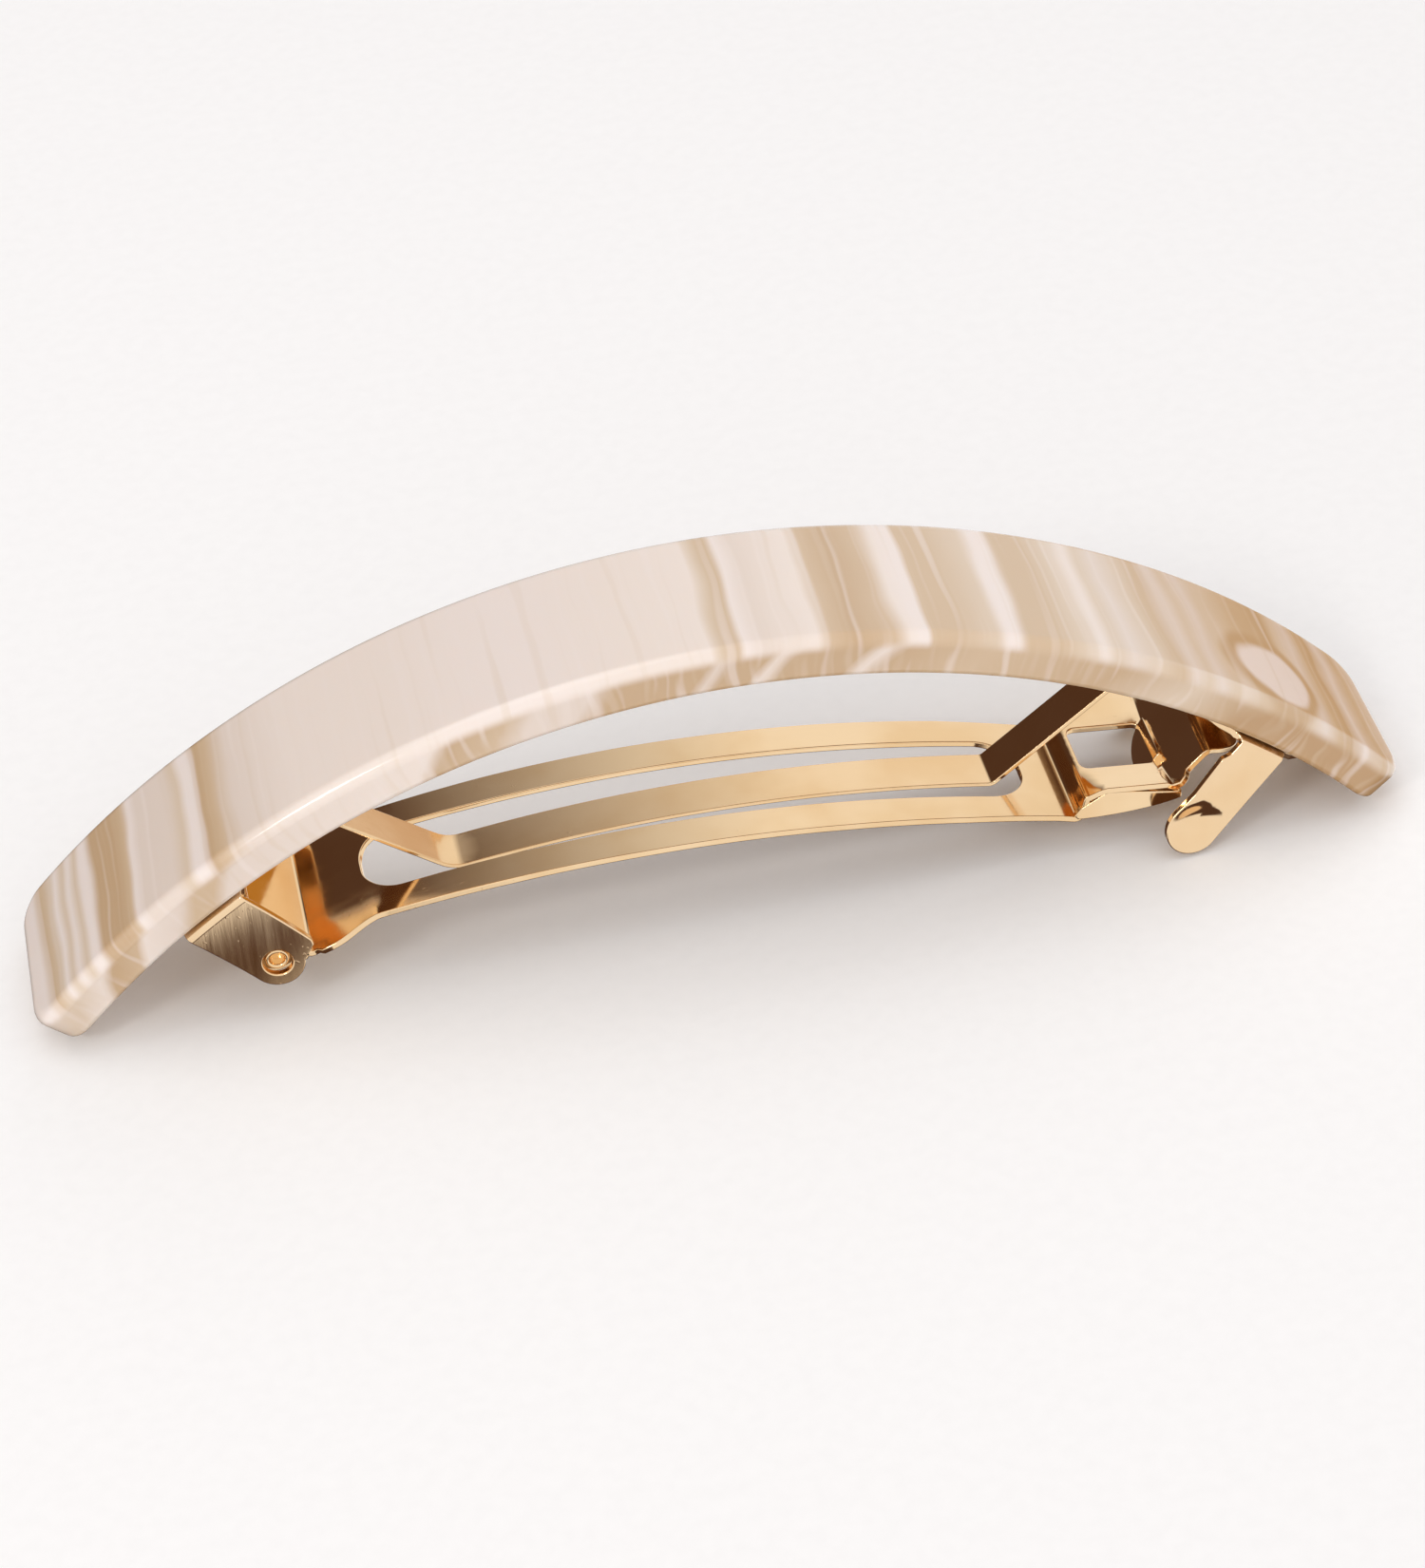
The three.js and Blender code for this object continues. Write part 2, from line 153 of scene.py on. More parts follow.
class Profile:
    """The upper line of a bent strip in its own plane, followed by arc length."""

    def __init__(self, line, step=0.03):
        line = np.array(line, float)
        keep = np.r_[True, np.linalg.norm(np.diff(line, axis=0), axis=1) > 1e-6]
        line = line[keep]
        coarse = np.r_[0, np.cumsum(np.linalg.norm(np.diff(line, axis=0), axis=1))]
        self.length = coarse[-1]
        self.s = np.linspace(0, self.length, int(self.length / step) + 2)
        self.x = np.interp(self.s, coarse, line[:, 0])
        self.z = np.interp(self.s, coarse, line[:, 1])
        self.tilt = np.unwrap(np.arctan2(np.gradient(self.z), np.gradient(self.x)))

    def at(self, s, height):
        tilt = np.interp(s, self.s, self.tilt)
        x = np.interp(s, self.s, self.x) - height * np.sin(tilt)
        z = np.interp(s, self.s, self.z) + height * np.cos(tilt)
        return x, z

    def from_x(self, x):
        return np.interp(x, self.x, self.s)

    def stations(self, longest=1.2, turn=math.radians(5)):
        """Places along the strip that are close together where it bends."""
        found = [0.0]
        last_tilt = self.tilt[0]
        for s, tilt in zip(self.s, self.tilt):
            if s - found[-1] >= longest or abs(tilt - last_tilt) >= turn:
                found.append(s)
                last_tilt = tilt
        return np.array(found[1:])


# ------------------------------------------------------------------ closed sheets with rounded edges

def edge_section(thickness, top_round, bottom_round, steps):
    """Rounded edge from upper to lower face: (inset, height, outward share, upward share)."""
    quarter = [math.pi / 2 * i / steps for i in range(steps + 1)]
    top = [(top_round * (1 - math.sin(a)), -top_round * (1 - math.cos(a)), math.sin(a), math.cos(a))
           for a in quarter]
    bottom = [(bottom_round * (1 - math.cos(a)), -thickness + bottom_round * (1 - math.sin(a)),
               math.cos(a), -math.sin(a)) for a in quarter]
    return top + bottom


def outward_of(loop):
    """Mitred outward direction at each point of a loop that keeps the material on its left."""
    ahead = np.roll(loop, -1, axis=0) - loop
    ahead /= np.linalg.norm(ahead, axis=1)[:, None]
    side = np.stack([ahead[:, 1], -ahead[:, 0]], axis=1)
    both = side + np.roll(side, 1, axis=0)
    return 2 * both / np.maximum((both ** 2).sum(axis=1), 1.2)[:, None]


def signed_area(loop):
    x, y = loop[:, 0], loop[:, 1]
    return 0.5 * np.sum(x * np.roll(y, -1) - np.roll(x, -1) * y)


def refined(loop, stations, longest):
    """The loop with points added where it crosses a station and along its long sides."""
    points = []
    for a, b in zip(loop, np.roll(loop, -1, axis=0)):
        length = np.linalg.norm(b - a)
        if length < 1e-5:
            continue
        shares = list(np.linspace(0, 1, max(1, math.ceil(length / longest)) + 1)[:-1])
        if abs(b[0] - a[0]) > 1e-9:
            crossing = (stations - a[0]) / (b[0] - a[0])
            shares += [t for t in crossing if 0 < t < 1]
        shares.sort()
        last = -1.0
        for t in shares:
            if (t - last) * length > 0.02 and (1 - t) * length > 0.02:
                points.append(a + (b - a) * t)
                last = t
    return np.array(points)


def inside(points, loops):
    """Which points lie in the material, by counting the edges crossed to their right."""
    starts = np.concatenate(loops)
    ends = np.concatenate([np.roll(loop, -1, axis=0) for loop in loops])
    count = np.zeros(len(points), int)
    for chunk in range(0, len(points), 2000):
        p = points[chunk:chunk + 2000, None]
        spans = (starts[:, 1] > p[..., 1]) != (ends[:, 1] > p[..., 1])
        with np.errstate(divide="ignore", invalid="ignore"):
            share = (p[..., 1] - starts[:, 1]) / (ends[:, 1] - starts[:, 1])
        crossing = starts[:, 0] + share * (ends[:, 0] - starts[:, 0])
        count[chunk:chunk + 2000] = (spans & (p[..., 0] < crossing)).sum(axis=1)
    return count % 2 == 1


def clear_of(points, loops, distance):
    edge = np.concatenate(loops)
    keep = np.ones(len(points), bool)
    for chunk in range(0, len(points), 2000):
        gap = points[chunk:chunk + 2000, None] - edge
        keep[chunk:chunk + 2000] = (gap ** 2).sum(axis=2).min(axis=1) > distance ** 2
    return keep


def grid_points(loops, stations, spacing, details):
    """Points inside the outline: a grid on the stations, finer inside each detail rectangle."""
    edge = np.concatenate(loops)
    rows = np.arange(math.floor(edge[:, 1].min() / spacing), math.ceil(edge[:, 1].max() / spacing) + 1)
    u, v = np.meshgrid(stations, rows * spacing)
    points = np.stack([u.ravel(), v.ravel()], axis=1)
    points = points[inside(points, loops)]
    points = points[clear_of(points, loops, 0.4 * spacing)]
    for u0, u1, v0, v1, step in details:
        outer = ((points[:, 0] < u0) | (points[:, 0] > u1) | (points[:, 1] < v0) | (points[:, 1] > v1))
        u, v = np.meshgrid(np.arange(u0, u1, step), np.arange(v0, v1, step))
        fine = np.stack([u.ravel(), v.ravel()], axis=1)
        fine = fine[inside(fine, loops)]
        fine = fine[clear_of(fine, loops, 0.5 * step)]
        points = np.concatenate([points[outer], fine])
    return points


def triangles_of(loops, points):
    """Constrained triangulation of the material between the loops, by index into loops + points."""
    corners = [Vector(p) for p in np.concatenate(loops + [points])]
    edges = []
    start = 0
    for loop in loops:
        edges += [(start + i, start + (i + 1) % len(loop)) for i in range(len(loop))]
        start += len(loop)
    flat, _, faces, origin, _, _ = delaunay_2d_cdt(corners, edges, [], 0, 1e-7)
    faces = np.array([f for f in faces if len(f) == 3])
    places = np.array([tuple(p) for p in flat])
    centres = places[faces].mean(axis=1)
    first = np.array([o[0] if o else -1 for o in origin])
    return first[faces[inside(centres, loops)]]


def surface_at(place, uv, height):
    """Position, unit tangents and unit normal of a placed sheet at each (u, v)."""
    u, v = uv[:, 0], uv[:, 1]
    small = 1e-3
    along_u = place(u + small, v, height) - place(u - small, v, height)
    along_v = place(u, v + small, height) - place(u, v - small, height)
    up = place(u, v, height + small) - place(u, v, height - small)
    normal = np.cross(along_u, along_v)
    normal *= np.sign((normal * up).sum(axis=1))[:, None]
    units = [a / np.linalg.norm(a, axis=1)[:, None] for a in (along_u, along_v, normal)]
    return place(u, v, height), *units


def sheet(name, loops, place, thickness, rounding, stations=(), spacing=0.8, longest=0.8,
          details=(), steps=3):
    """A closed sheet: outline and holes drawn flat in (u, v), then placed in space.

    place(u, v, height) gives row-frame points, with height 0 on the upper face. rounding is the
    edge radius, or an (upper, lower) pair."""
    top_round, bottom_round = rounding if isinstance(rounding, tuple) else (rounding, rounding)
    stations = np.array(stations, float)
    ready = []
    for i, loop in enumerate(loops):
        loop = np.array(loop, float)
        if (signed_area(loop) > 0) != (i == 0):
            loop = loop[::-1]
        ready.append(refined(loop, stations, longest))
    directions = [outward_of(loop) for loop in ready]

    positions, normals, faces = [], [], []
    ring_start = []
    total = 0
    section = edge_section(thickness, top_round, bottom_round, steps)
    for inset, height, out_share, up_share in section:
        ring_start.append(total)
        for loop, direction in zip(ready, directions):
            inner = loop - direction * inset
            point, tangent_u, tangent_v, normal = surface_at(place, inner, height)
            unit = direction / np.linalg.norm(direction, axis=1)[:, None]
            out = tangent_u * unit[:, :1] + tangent_v * unit[:, 1:]
            positions.append(point)
            normals.append(out * out_share + normal * up_share)
            total += len(loop)
    for start, following in zip(ring_start[:-1], ring_start[1:]):
        offset = 0
        for loop in ready:
            count = len(loop)
            for i in range(count):
                j = (i + 1) % count
                faces.append((start + offset + i, following + offset + i,
                              following + offset + j, start + offset + j))
            offset += count

    for ring, (inset, height, _, up_share) in ((0, section[0]), (-1, section[-1])):
        rim = [loop - direction * inset for loop, direction in zip(ready, directions)]
        inner = grid_points(rim, stations, spacing, details)
        rim_count = sum(len(loop) for loop in rim)
        point, _, _, normal = surface_at(place, inner, height)
        positions.append(point)
        normals.append(normal * up_share)
        triangles = triangles_of(rim, inner)
        index = np.where(triangles < rim_count, triangles + ring_start[ring],
                         triangles - rim_count + total)
        total += len(inner)
        faces += [tuple(t) if ring == 0 else tuple(t[::-1]) for t in index]
    return mesh_object(name, np.concatenate(positions), faces, np.concatenate(normals))


def mesh_object(name, positions, faces, normals):
    """A smooth mesh object with exact normals, its faces turned to point outwards."""
    positions = np.asarray(positions)
    middle = positions.mean(axis=0)
    volume = 0.0
    for face in faces:
        corners = positions[list(face)] - middle
        for k in range(1, len(face) - 1):
            volume += corners[0] @ np.cross(corners[k], corners[k + 1])
    if volume < 0:
        faces = [tuple(reversed(face)) for face in faces]
    mesh = bpy.data.meshes.new(name)
    mesh.from_pydata(positions.tolist(), [], [tuple(int(i) for i in face) for face in faces])
    mesh.polygons.foreach_set("use_smooth", [True] * len(mesh.polygons))
    normals = normals / np.linalg.norm(normals, axis=1)[:, None]
    mesh.normals_split_custom_set_from_vertices(normals.tolist())
    piece = bpy.data.objects.new(name, mesh)
    bpy.context.scene.collection.objects.link(piece)
    return piece


def turned(name, line, axis_x, axis_z, y_start, side, count=48):
    """A closed ring turned about an axis along Y, from its section (radius, distance along Y)."""
    line = np.array(line, float)
    size = len(line)
    angles = np.linspace(0, 2 * math.pi, count, endpoint=False)
    ahead = np.roll(line, -1, axis=0) - np.roll(line, 1, axis=0)
    out = np.stack([ahead[:, 1], -ahead[:, 0]], axis=1)
    if signed_area(line) < 0:
        out = -out
    positions, normals = [], []
    for a in angles:
        c, s = math.cos(a), math.sin(a)
        positions.append(world_points(axis_x + line[:, 0] * c, y_start + side * line[:, 1],
                                      axis_z + line[:, 0] * s))
        normals.append(np.stack([out[:, 0] * c, side * out[:, 1], out[:, 0] * s], axis=1))
    faces = []
    for i in range(count):
        for k in range(size):
            faces.append((i * size + k, i * size + (k + 1) % size,
                          (i + 1) % count * size + (k + 1) % size, (i + 1) % count * size + k))
    return mesh_object(name, np.concatenate(positions), faces, np.concatenate(normals))


# ------------------------------------------------------------------ procedural materials

class Nodes:
    """A few helpers that keep a node tree readable."""

    def __init__(self, tree):
        self.tree = tree
        tree.nodes.clear()

    def add(self, kind, **settings):
        node = self.tree.nodes.new(kind)
        for key, value in settings.items():
            setattr(node, key, value)
        return node

    def link(self, source, target):
        if isinstance(source, bpy.types.NodeSocket):
            self.tree.links.new(source, target)
        else:
            target.default_value = source

    def math(self, operation, a, b=0.0, c=0.0):
        node = self.add("ShaderNodeMath", operation=operation)
        for value, socket in zip((a, b, c), node.inputs):
            self.link(value, socket)
        return node.outputs[0]

    def map_range(self, value, low, high, to_low=0.0, to_high=1.0, smooth=True):
        node = self.add("ShaderNodeMapRange")
        node.interpolation_type = "SMOOTHSTEP" if smooth else "LINEAR"
        for key, v in (("Value", value), ("From Min", low), ("From Max", high),
                       ("To Min", to_low), ("To Max", to_high)):
            self.link(v, node.inputs[key])
        return node.outputs["Result"]

    def combine(self, x, y, z):
        node = self.add("ShaderNodeCombineXYZ")
        for value, socket in zip((x, y, z), node.inputs):
            self.link(value, socket)
        return node.outputs[0]

    def noise(self, vector, scale, detail=3.0, roughness=0.5):
        node = self.add("ShaderNodeTexNoise")
        self.link(vector, node.inputs["Vector"])
        node.inputs["Scale"].default_value = scale
        node.inputs["Detail"].default_value = detail
        node.inputs["Roughness"].default_value = roughness
        return node.outputs["Fac"]

    def mix(self, share, a, b):
        node = self.add("ShaderNodeMix", data_type="RGBA")
        self.link(share, node.inputs["Factor"])
        self.link(a, node.inputs[6])
        self.link(b, node.inputs[7])
        return node.outputs[2]

    def ramp(self, value, stops):
        node = self.add("ShaderNodeValToRGB")
        self.link(value, node.inputs[0])
        elements = node.color_ramp.elements
        while len(elements) > 1:
            elements.remove(elements[-1])
        elements[0].position, elements[0].color = stops[0][0], (*stops[0][1], 1)
        for position, colour in stops[1:]:
            elements.new(position).color = (*colour, 1)
        return node.outputs[0]

    def bump(self, height, strength, distance, normal=None):
        node = self.add("ShaderNodeBump")
        node.inputs["Strength"].default_value = strength
        node.inputs["Distance"].default_value = distance
        self.link(height, node.inputs["Height"])
        if normal is not None:
            self.link(normal, node.inputs["Normal"])
        return node.outputs[0]


def srgb(r, g, b):
    """Linear colour from 0-255 sRGB values."""
    return tuple((c / 255 / 12.92) if c <= 10.3 else ((c / 255 + 0.055) / 1.055) ** 2.4
                 for c in (r, g, b))


def principled(name):
    material = bpy.data.materials.new(name)
    material.use_nodes = True
    nodes = Nodes(material.node_tree)
    shader = nodes.add("ShaderNodeBsdfPrincipled")
    output = nodes.add("ShaderNodeOutputMaterial")
    nodes.link(shader.outputs[0], output.inputs[0])
    return material, nodes, shader


CREAM = srgb(236, 223, 213)
ROSE = srgb(227, 212, 200)
PEARL = srgb(238, 226, 219)
TAN = srgb(209, 183, 152)
DARK_TAN = srgb(199, 169, 134)
THIN_TAN = srgb(219, 199, 176)
UMBER = srgb(188, 152, 110)

# Marbling seen on the bar's outer face: (arc length from the apex in mm, tone), left half.
FACE_LEFT = (
    (-51, CREAM), (-48.9, PEARL), (-48.0, TAN), (-47.2, THIN_TAN), (-46.6, PEARL), (-45.9, THIN_TAN),
    (-45.3, PEARL), (-44.6, THIN_TAN), (-44.0, PEARL), (-43.5, PEARL), (-42.9, DARK_TAN),
    (-41.0, DARK_TAN), (-40.1, TAN), (-39.6, PEARL), (-38.9, ROSE), (-36.4, ROSE), (-35.5, THIN_TAN),
    (-34.9, PEARL), (-34.3, PEARL), (-33.8, DARK_TAN), (-32.9, TAN), (-31.2, ROSE), (-27, CREAM),
    (-20, CREAM), (-12, PEARL), (-5, CREAM), (0, CREAM),
)
# The right half, where the bands are stronger.
FACE_RIGHT = (
    (0, CREAM), (0.7, THIN_TAN), (1.2, TAN), (1.7, TAN), (2.1, PEARL), (3.3, ROSE),
    (6.6, CREAM), (7.5, TAN), (9.3, DARK_TAN), (11.4, TAN), (12.3, CREAM), (13.0, PEARL),
    (13.6, PEARL), (13.9, TAN), (15.5, TAN), (18.2, THIN_TAN), (19.0, PEARL), (19.7, PEARL),
    (20.4, TAN), (22.6, TAN), (24.0, THIN_TAN), (25.4, CREAM), (26.4, THIN_TAN), (27.6, ROSE),
    (29.2, THIN_TAN), (30.6, TAN), (32.0, ROSE), (33.0, THIN_TAN), (34.4, ROSE), (35.6, THIN_TAN),
    (36.4, THIN_TAN), (51, THIN_TAN),
)
# The tones at the bar's far right, continued from FACE_RIGHT.
FACE_END = (
    (36.4, THIN_TAN), (38.0, TAN), (40.2, DARK_TAN), (41.6, THIN_TAN), (43.0, ROSE), (44.2, TAN),
    (45.4, DARK_TAN), (46.4, ROSE), (47.6, TAN), (48.8, THIN_TAN), (51, ROSE),
)
# Marbling on the bar's long sides.
SIDE_BANDS = (
    (-51, CREAM), (-46.4, THIN_TAN), (-43.6, CREAM), (-42.6, DARK_TAN), (-40.2, TAN), (-39.6, CREAM),
    (-36.4, ROSE), (-35.2, TAN), (-33.4, TAN), (-32.2, ROSE), (-17.6, CREAM), (-16.2, DARK_TAN),
    (-12.4, TAN), (-10.6, ROSE), (-7.2, ROSE), (-5.4, DARK_TAN), (0.4, DARK_TAN), (1.3, ROSE),
    (2.2, DARK_TAN), (4.4, DARK_TAN), (5.3, CREAM), (6.4, DARK_TAN), (10.8, DARK_TAN), (11.8, CREAM),
    (13.0, DARK_TAN), (18.6, TAN), (28, DARK_TAN), (33, THIN_TAN), (37, DARK_TAN), (39, UMBER), (51, UMBER),
)


# A pale oval with a tan edge near the catch end of the outer face.
OVAL_ARC, OVAL_ACROSS = 39.6, -2.4
OVAL_HALF_ARC, OVAL_HALF_ACROSS = 3.0, 3.4


def places_in_bar(n, place):
    """Arc length from the apex, distance across and depth under the outer face, in millimetres."""
    split = n.add("ShaderNodeSeparateXYZ")
    n.link(place, split.inputs[0])
    x, y, z = split.outputs
    centre_z = (APEX_HEIGHT - BAR_RADIUS) / 1000
    rise = n.math("SUBTRACT", z, centre_z)
    arc = n.math("MULTIPLY", n.math("ARCTAN2", x, rise), BAR_RADIUS)
    radius = n.math("MULTIPLY", n.math("SQRT", n.math("ADD", n.math("MULTIPLY", x, x),
                                                      n.math("MULTIPLY", rise, rise))), 1000)
    return arc, n.math("MULTIPLY", y, 1000), n.math("SUBTRACT", BAR_RADIUS, radius)


def warped_arc(n, arc, across, depth):
    """The arc length with slow and quick waves, stronger at the catch end, as the marbling runs."""
    flow = n.combine(n.math("MULTIPLY", arc, 0.16), n.math("MULTIPLY", across, 0.05),
                     n.math("MULTIPLY", depth, 0.15))
    slow = n.math("SUBTRACT", n.noise(flow, 1.0, 2.0), 0.5)
    wave = n.combine(n.math("MULTIPLY", arc, 0.3), n.math("MULTIPLY", across, 0.13),
                     n.math("MULTIPLY", depth, 0.3))
    ripple = n.math("SUBTRACT", n.noise(wave, 1.0, 1.0), 0.5)
    end_share = n.map_range(arc, 24.0, 40.0)
    swing = n.math("MULTIPLY_ADD", end_share, 5.0, 0.6)
    return n.math("ADD", arc, n.math("ADD", n.math("MULTIPLY", slow, swing),
                                     n.math("MULTIPLY", ripple, 0.9)))


def oval_distance(n, along, across):
    """Distance from the oval's middle, as a share of its half sizes."""
    oval_arc = n.math("DIVIDE", n.math("SUBTRACT", along, OVAL_ARC), OVAL_HALF_ARC)
    oval_across = n.math("DIVIDE", n.math("SUBTRACT", across, OVAL_ACROSS), OVAL_HALF_ACROSS)
    return n.math("SQRT", n.math("ADD", n.math("MULTIPLY", oval_arc, oval_arc),
                                 n.math("MULTIPLY", oval_across, oval_across)))


def acetate_material():
    """Polished marbled cellulose acetate: cream, with tan and pearl bands that run through it."""
    material, n, shader = principled("marbled_acetate")
    place = n.add("ShaderNodeTexCoord").outputs["Object"]
    arc, across, depth = places_in_bar(n, place)
    warped = warped_arc(n, arc, across, depth)

    def bands(stops, along=warped):
        start, end = stops[0][0], stops[-1][0]
        span = end - start
        share = n.math("DIVIDE", n.math("SUBTRACT", along, start), span)
        return n.ramp(share, [((arc_mm - start) / span, tone) for arc_mm, tone in stops])

    left_right = n.math("GREATER_THAN", warped, 0.0)
    face = n.mix(left_right, bands(FACE_LEFT), bands(FACE_RIGHT))
    face = n.mix(n.math("GREATER_THAN", warped, FACE_END[0][0]), face, bands(FACE_END))
    oval = oval_distance(n, warped, across)
    face = n.mix(n.map_range(oval, 1.35, 1.05), face, DARK_TAN + (1,))
    face = n.mix(n.map_range(oval, 1.0, 0.75), face, PEARL + (1,))
    # On the long sides the bands lean over as they go down.
    leaning = n.math("MULTIPLY_ADD", depth, 0.9, warped)
    face = n.mix(n.map_range(depth, 0.35, 1.1), face, bands(SIDE_BANDS, leaning))

    fine = n.combine(n.math("MULTIPLY", warped, 1.7), n.math("MULTIPLY", across, 0.03),
                     n.math("MULTIPLY", depth, 0.2))
    veins = n.noise(fine, 0.7, 1.0, 0.5)
    face = n.mix(n.map_range(veins, 0.52, 0.75, 0.0, 0.45), face, PEARL + (1,))
    face = n.mix(n.map_range(veins, 0.45, 0.25, 0.0, 0.3), face, THIN_TAN + (1,))
    n.link(face, shader.inputs["Base Color"])

    polish = n.noise(place, 900.0, 2.0)
    n.link(n.map_range(polish, 0.3, 0.7, 0.16, 0.24), shader.inputs["Roughness"])
    n.link(n.bump(n.noise(place, 260.0, 1.0), 0.02, 0.0002), shader.inputs["Normal"])
    shader.inputs["IOR"].default_value = 1.48
    shader.inputs["Subsurface Weight"].default_value = 0.25
    shader.inputs["Subsurface Radius"].default_value = (1.0, 0.8, 0.65)
    shader.inputs["Subsurface Scale"].default_value = 0.0012
    shader.inputs["Coat Weight"].default_value = 0.5
    shader.inputs["Coat Roughness"].default_value = 0.06
    return material


def gold_material(name, colour, rough, grain=(60, 900, 900), scratch=0.5):
    """Pale gold plating on stamped steel: rolling grain, hairline scratches and small pits."""
    material, n, shader = principled(name)
    place = n.add("ShaderNodeTexCoord").outputs["Object"]
    stretched = n.add("ShaderNodeMapping")
    n.link(place, stretched.inputs["Vector"])
    stretched.inputs["Scale"].default_value = grain
    rolled = n.noise(stretched.outputs[0], 1.0, 4.0, 0.65)
    pits = n.noise(place, 2600.0, 2.0)
    tint = n.noise(place, 140.0, 3.0)
    darker = tuple(c * k for c, k in zip(colour, (0.93, 0.87, 0.78)))
    n.link(n.mix(n.map_range(tint, 0.35, 0.7), colour + (1,), darker + (1,)), shader.inputs["Base Color"])
    n.link(n.map_range(rolled, 0.25, 0.8, rough * 0.75, rough * 1.5), shader.inputs["Roughness"])
    rolling = n.bump(rolled, 0.10 * scratch, 0.00004)
    n.link(n.bump(n.map_range(pits, 0.68, 0.74), 0.12 * scratch, 0.00003, rolling),
           shader.inputs["Normal"])
    shader.inputs["Metallic"].default_value = 1.0
    return material


def cement_material():
    """Cured clear cement, slightly yellow, with fine bubbles."""
    material, n, shader = principled("cured_cement")
    place = n.add("ShaderNodeTexCoord").outputs["Object"]
    bubbles = n.noise(place, 1500.0, 3.0)
    n.link(n.ramp(bubbles, ((0.3, srgb(205, 196, 178)), (0.7, srgb(226, 219, 204)))),
           shader.inputs["Base Color"])
    n.link(n.map_range(bubbles, 0.3, 0.7, 0.3, 0.6), shader.inputs["Roughness"])
    n.link(n.bump(bubbles, 0.2, 0.00005), shader.inputs["Normal"])
    return material


def floor_material():
    """Matt white paper."""
    material, n, shader = principled("floor_paper")
    place = n.add("ShaderNodeTexCoord").outputs["Object"]
    fibre = n.noise(place, 900.0, 4.0)
    white = n.ramp(fibre, ((0.3, (0.93, 0.93, 0.93)), (0.7, (0.95, 0.95, 0.95))))
    n.link(white, shader.inputs["Base Color"])
    n.link(n.bump(fibre, 0.05, 0.0001), shader.inputs["Normal"])
    shader.inputs["Roughness"].default_value = 0.9
    shader.inputs["Specular IOR Level"].default_value = 0.1
    return material


def finish(piece, body, material):
    piece.data.materials.clear()
    piece.data.materials.append(material)
    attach(piece, body)
    return piece


HOLDER, ARM = "bar_and_plate", "arm"
ACETATE = acetate_material()
GOLD = gold_material("gold_base_plate", (0.93, 0.70, 0.44), 0.11, grain=(900, 900, 60), scratch=0.9)
SPRING_GOLD = gold_material("gold_leaf", (0.92, 0.68, 0.41), 0.12, scratch=0.7)
ARM_GOLD = gold_material("gold_arm", (0.93, 0.70, 0.43), 0.10)

# ------------------------------------------------------------------ acetate bar


def place_on_bar(arc, across, height):
    angle = arc / BAR_RADIUS
    radius = BAR_RADIUS + height
    return world_points(radius * np.sin(angle), across, radius * np.cos(angle) - BAR_RADIUS)


half_length = BAR_LENGTH / 2
bar = sheet("acetate_bar_marbled", [rounded_slot(-half_length, half_length, BAR_WIDTH / 2, 2.5)],
            place_on_bar, BAR_THICKNESS, (0.9, 0.5), np.arange(-half_length, half_length, 0.8),
            spacing=1.2, longest=0.6, steps=6)
finish(bar, HOLDER, ACETATE)
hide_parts("acetate_bar")

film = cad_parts["bond_film"]
film.data.materials.clear()
film.data.materials.append(cement_material())

# ------------------------------------------------------------------ base plate with ears and prongs


def fold_angle(arc):
    """Ears fold square to the plate; the prongs stop a little short of it, flared outwards."""
    return np.where(np.asarray(arc) > 0, math.pi / 2 - PRONG_FLARE, math.pi / 2)


def dimple_depth(arc, radius, across):
    """How far the dimple pushes a prong's metal inwards at a side-view place."""
    angle = arc / BAR_RADIUS
    dx = radius * np.sin(angle) - DIMPLE_X
    dz = radius * np.cos(angle) - BAR_RADIUS - DIMPLE_Z
    along = dx * math.cos(DIMPLE_TILT) - dz * math.sin(DIMPLE_TILT)
    up = dx * math.sin(DIMPLE_TILT) + dz * math.cos(DIMPLE_TILT)
    reach = (along / DIMPLE_LONG) ** 2 + (up / DIMPLE_SHORT) ** 2
    press = DIMPLE_DEPTH * np.clip(1 - reach, 0, 1) ** 2
    return np.where(np.abs(across) > FOLD_START, press, 0)


def place_on_plate(arc, across, height):
    """The strip drawn flat: past the fold line it turns down into an ear or a prong."""
    side = np.sign(across)
    past = np.maximum(np.abs(across) - FOLD_START, 0)
    full = fold_angle(arc)
    turn = np.minimum(past / FOLD_RADIUS, full)
    drop = past - turn * FOLD_RADIUS
    centre = PLATE_TOP - FOLD_RADIUS
    height = height - dimple_depth(arc, centre - drop, across)
    ear_bow = np.where(np.asarray(arc) < 0, EAR_SPRING * drop ** 2 / 2, 0)
    spread = drop * np.cos(turn) + ear_bow
    y = np.minimum(np.abs(across), FOLD_START) + (FOLD_RADIUS + height) * np.sin(turn) + spread
    radius = centre + (FOLD_RADIUS + height) * np.cos(turn) - drop * np.sin(turn)
    angle = arc / BAR_RADIUS
    return world_points(radius * np.sin(angle), side * y, radius * np.cos(angle) - BAR_RADIUS)


def unfold(x, z):
    """A side-view point on an ear or a prong, as (arc, across) on the flat strip."""
    radius = math.hypot(x, z + BAR_RADIUS)
    arc = BAR_RADIUS * math.atan2(x, z + BAR_RADIUS)
    full = float(fold_angle(arc))
    drop = PLATE_TOP - FOLD_RADIUS - radius
    return arc, FOLD_START + FOLD_RADIUS * full + drop


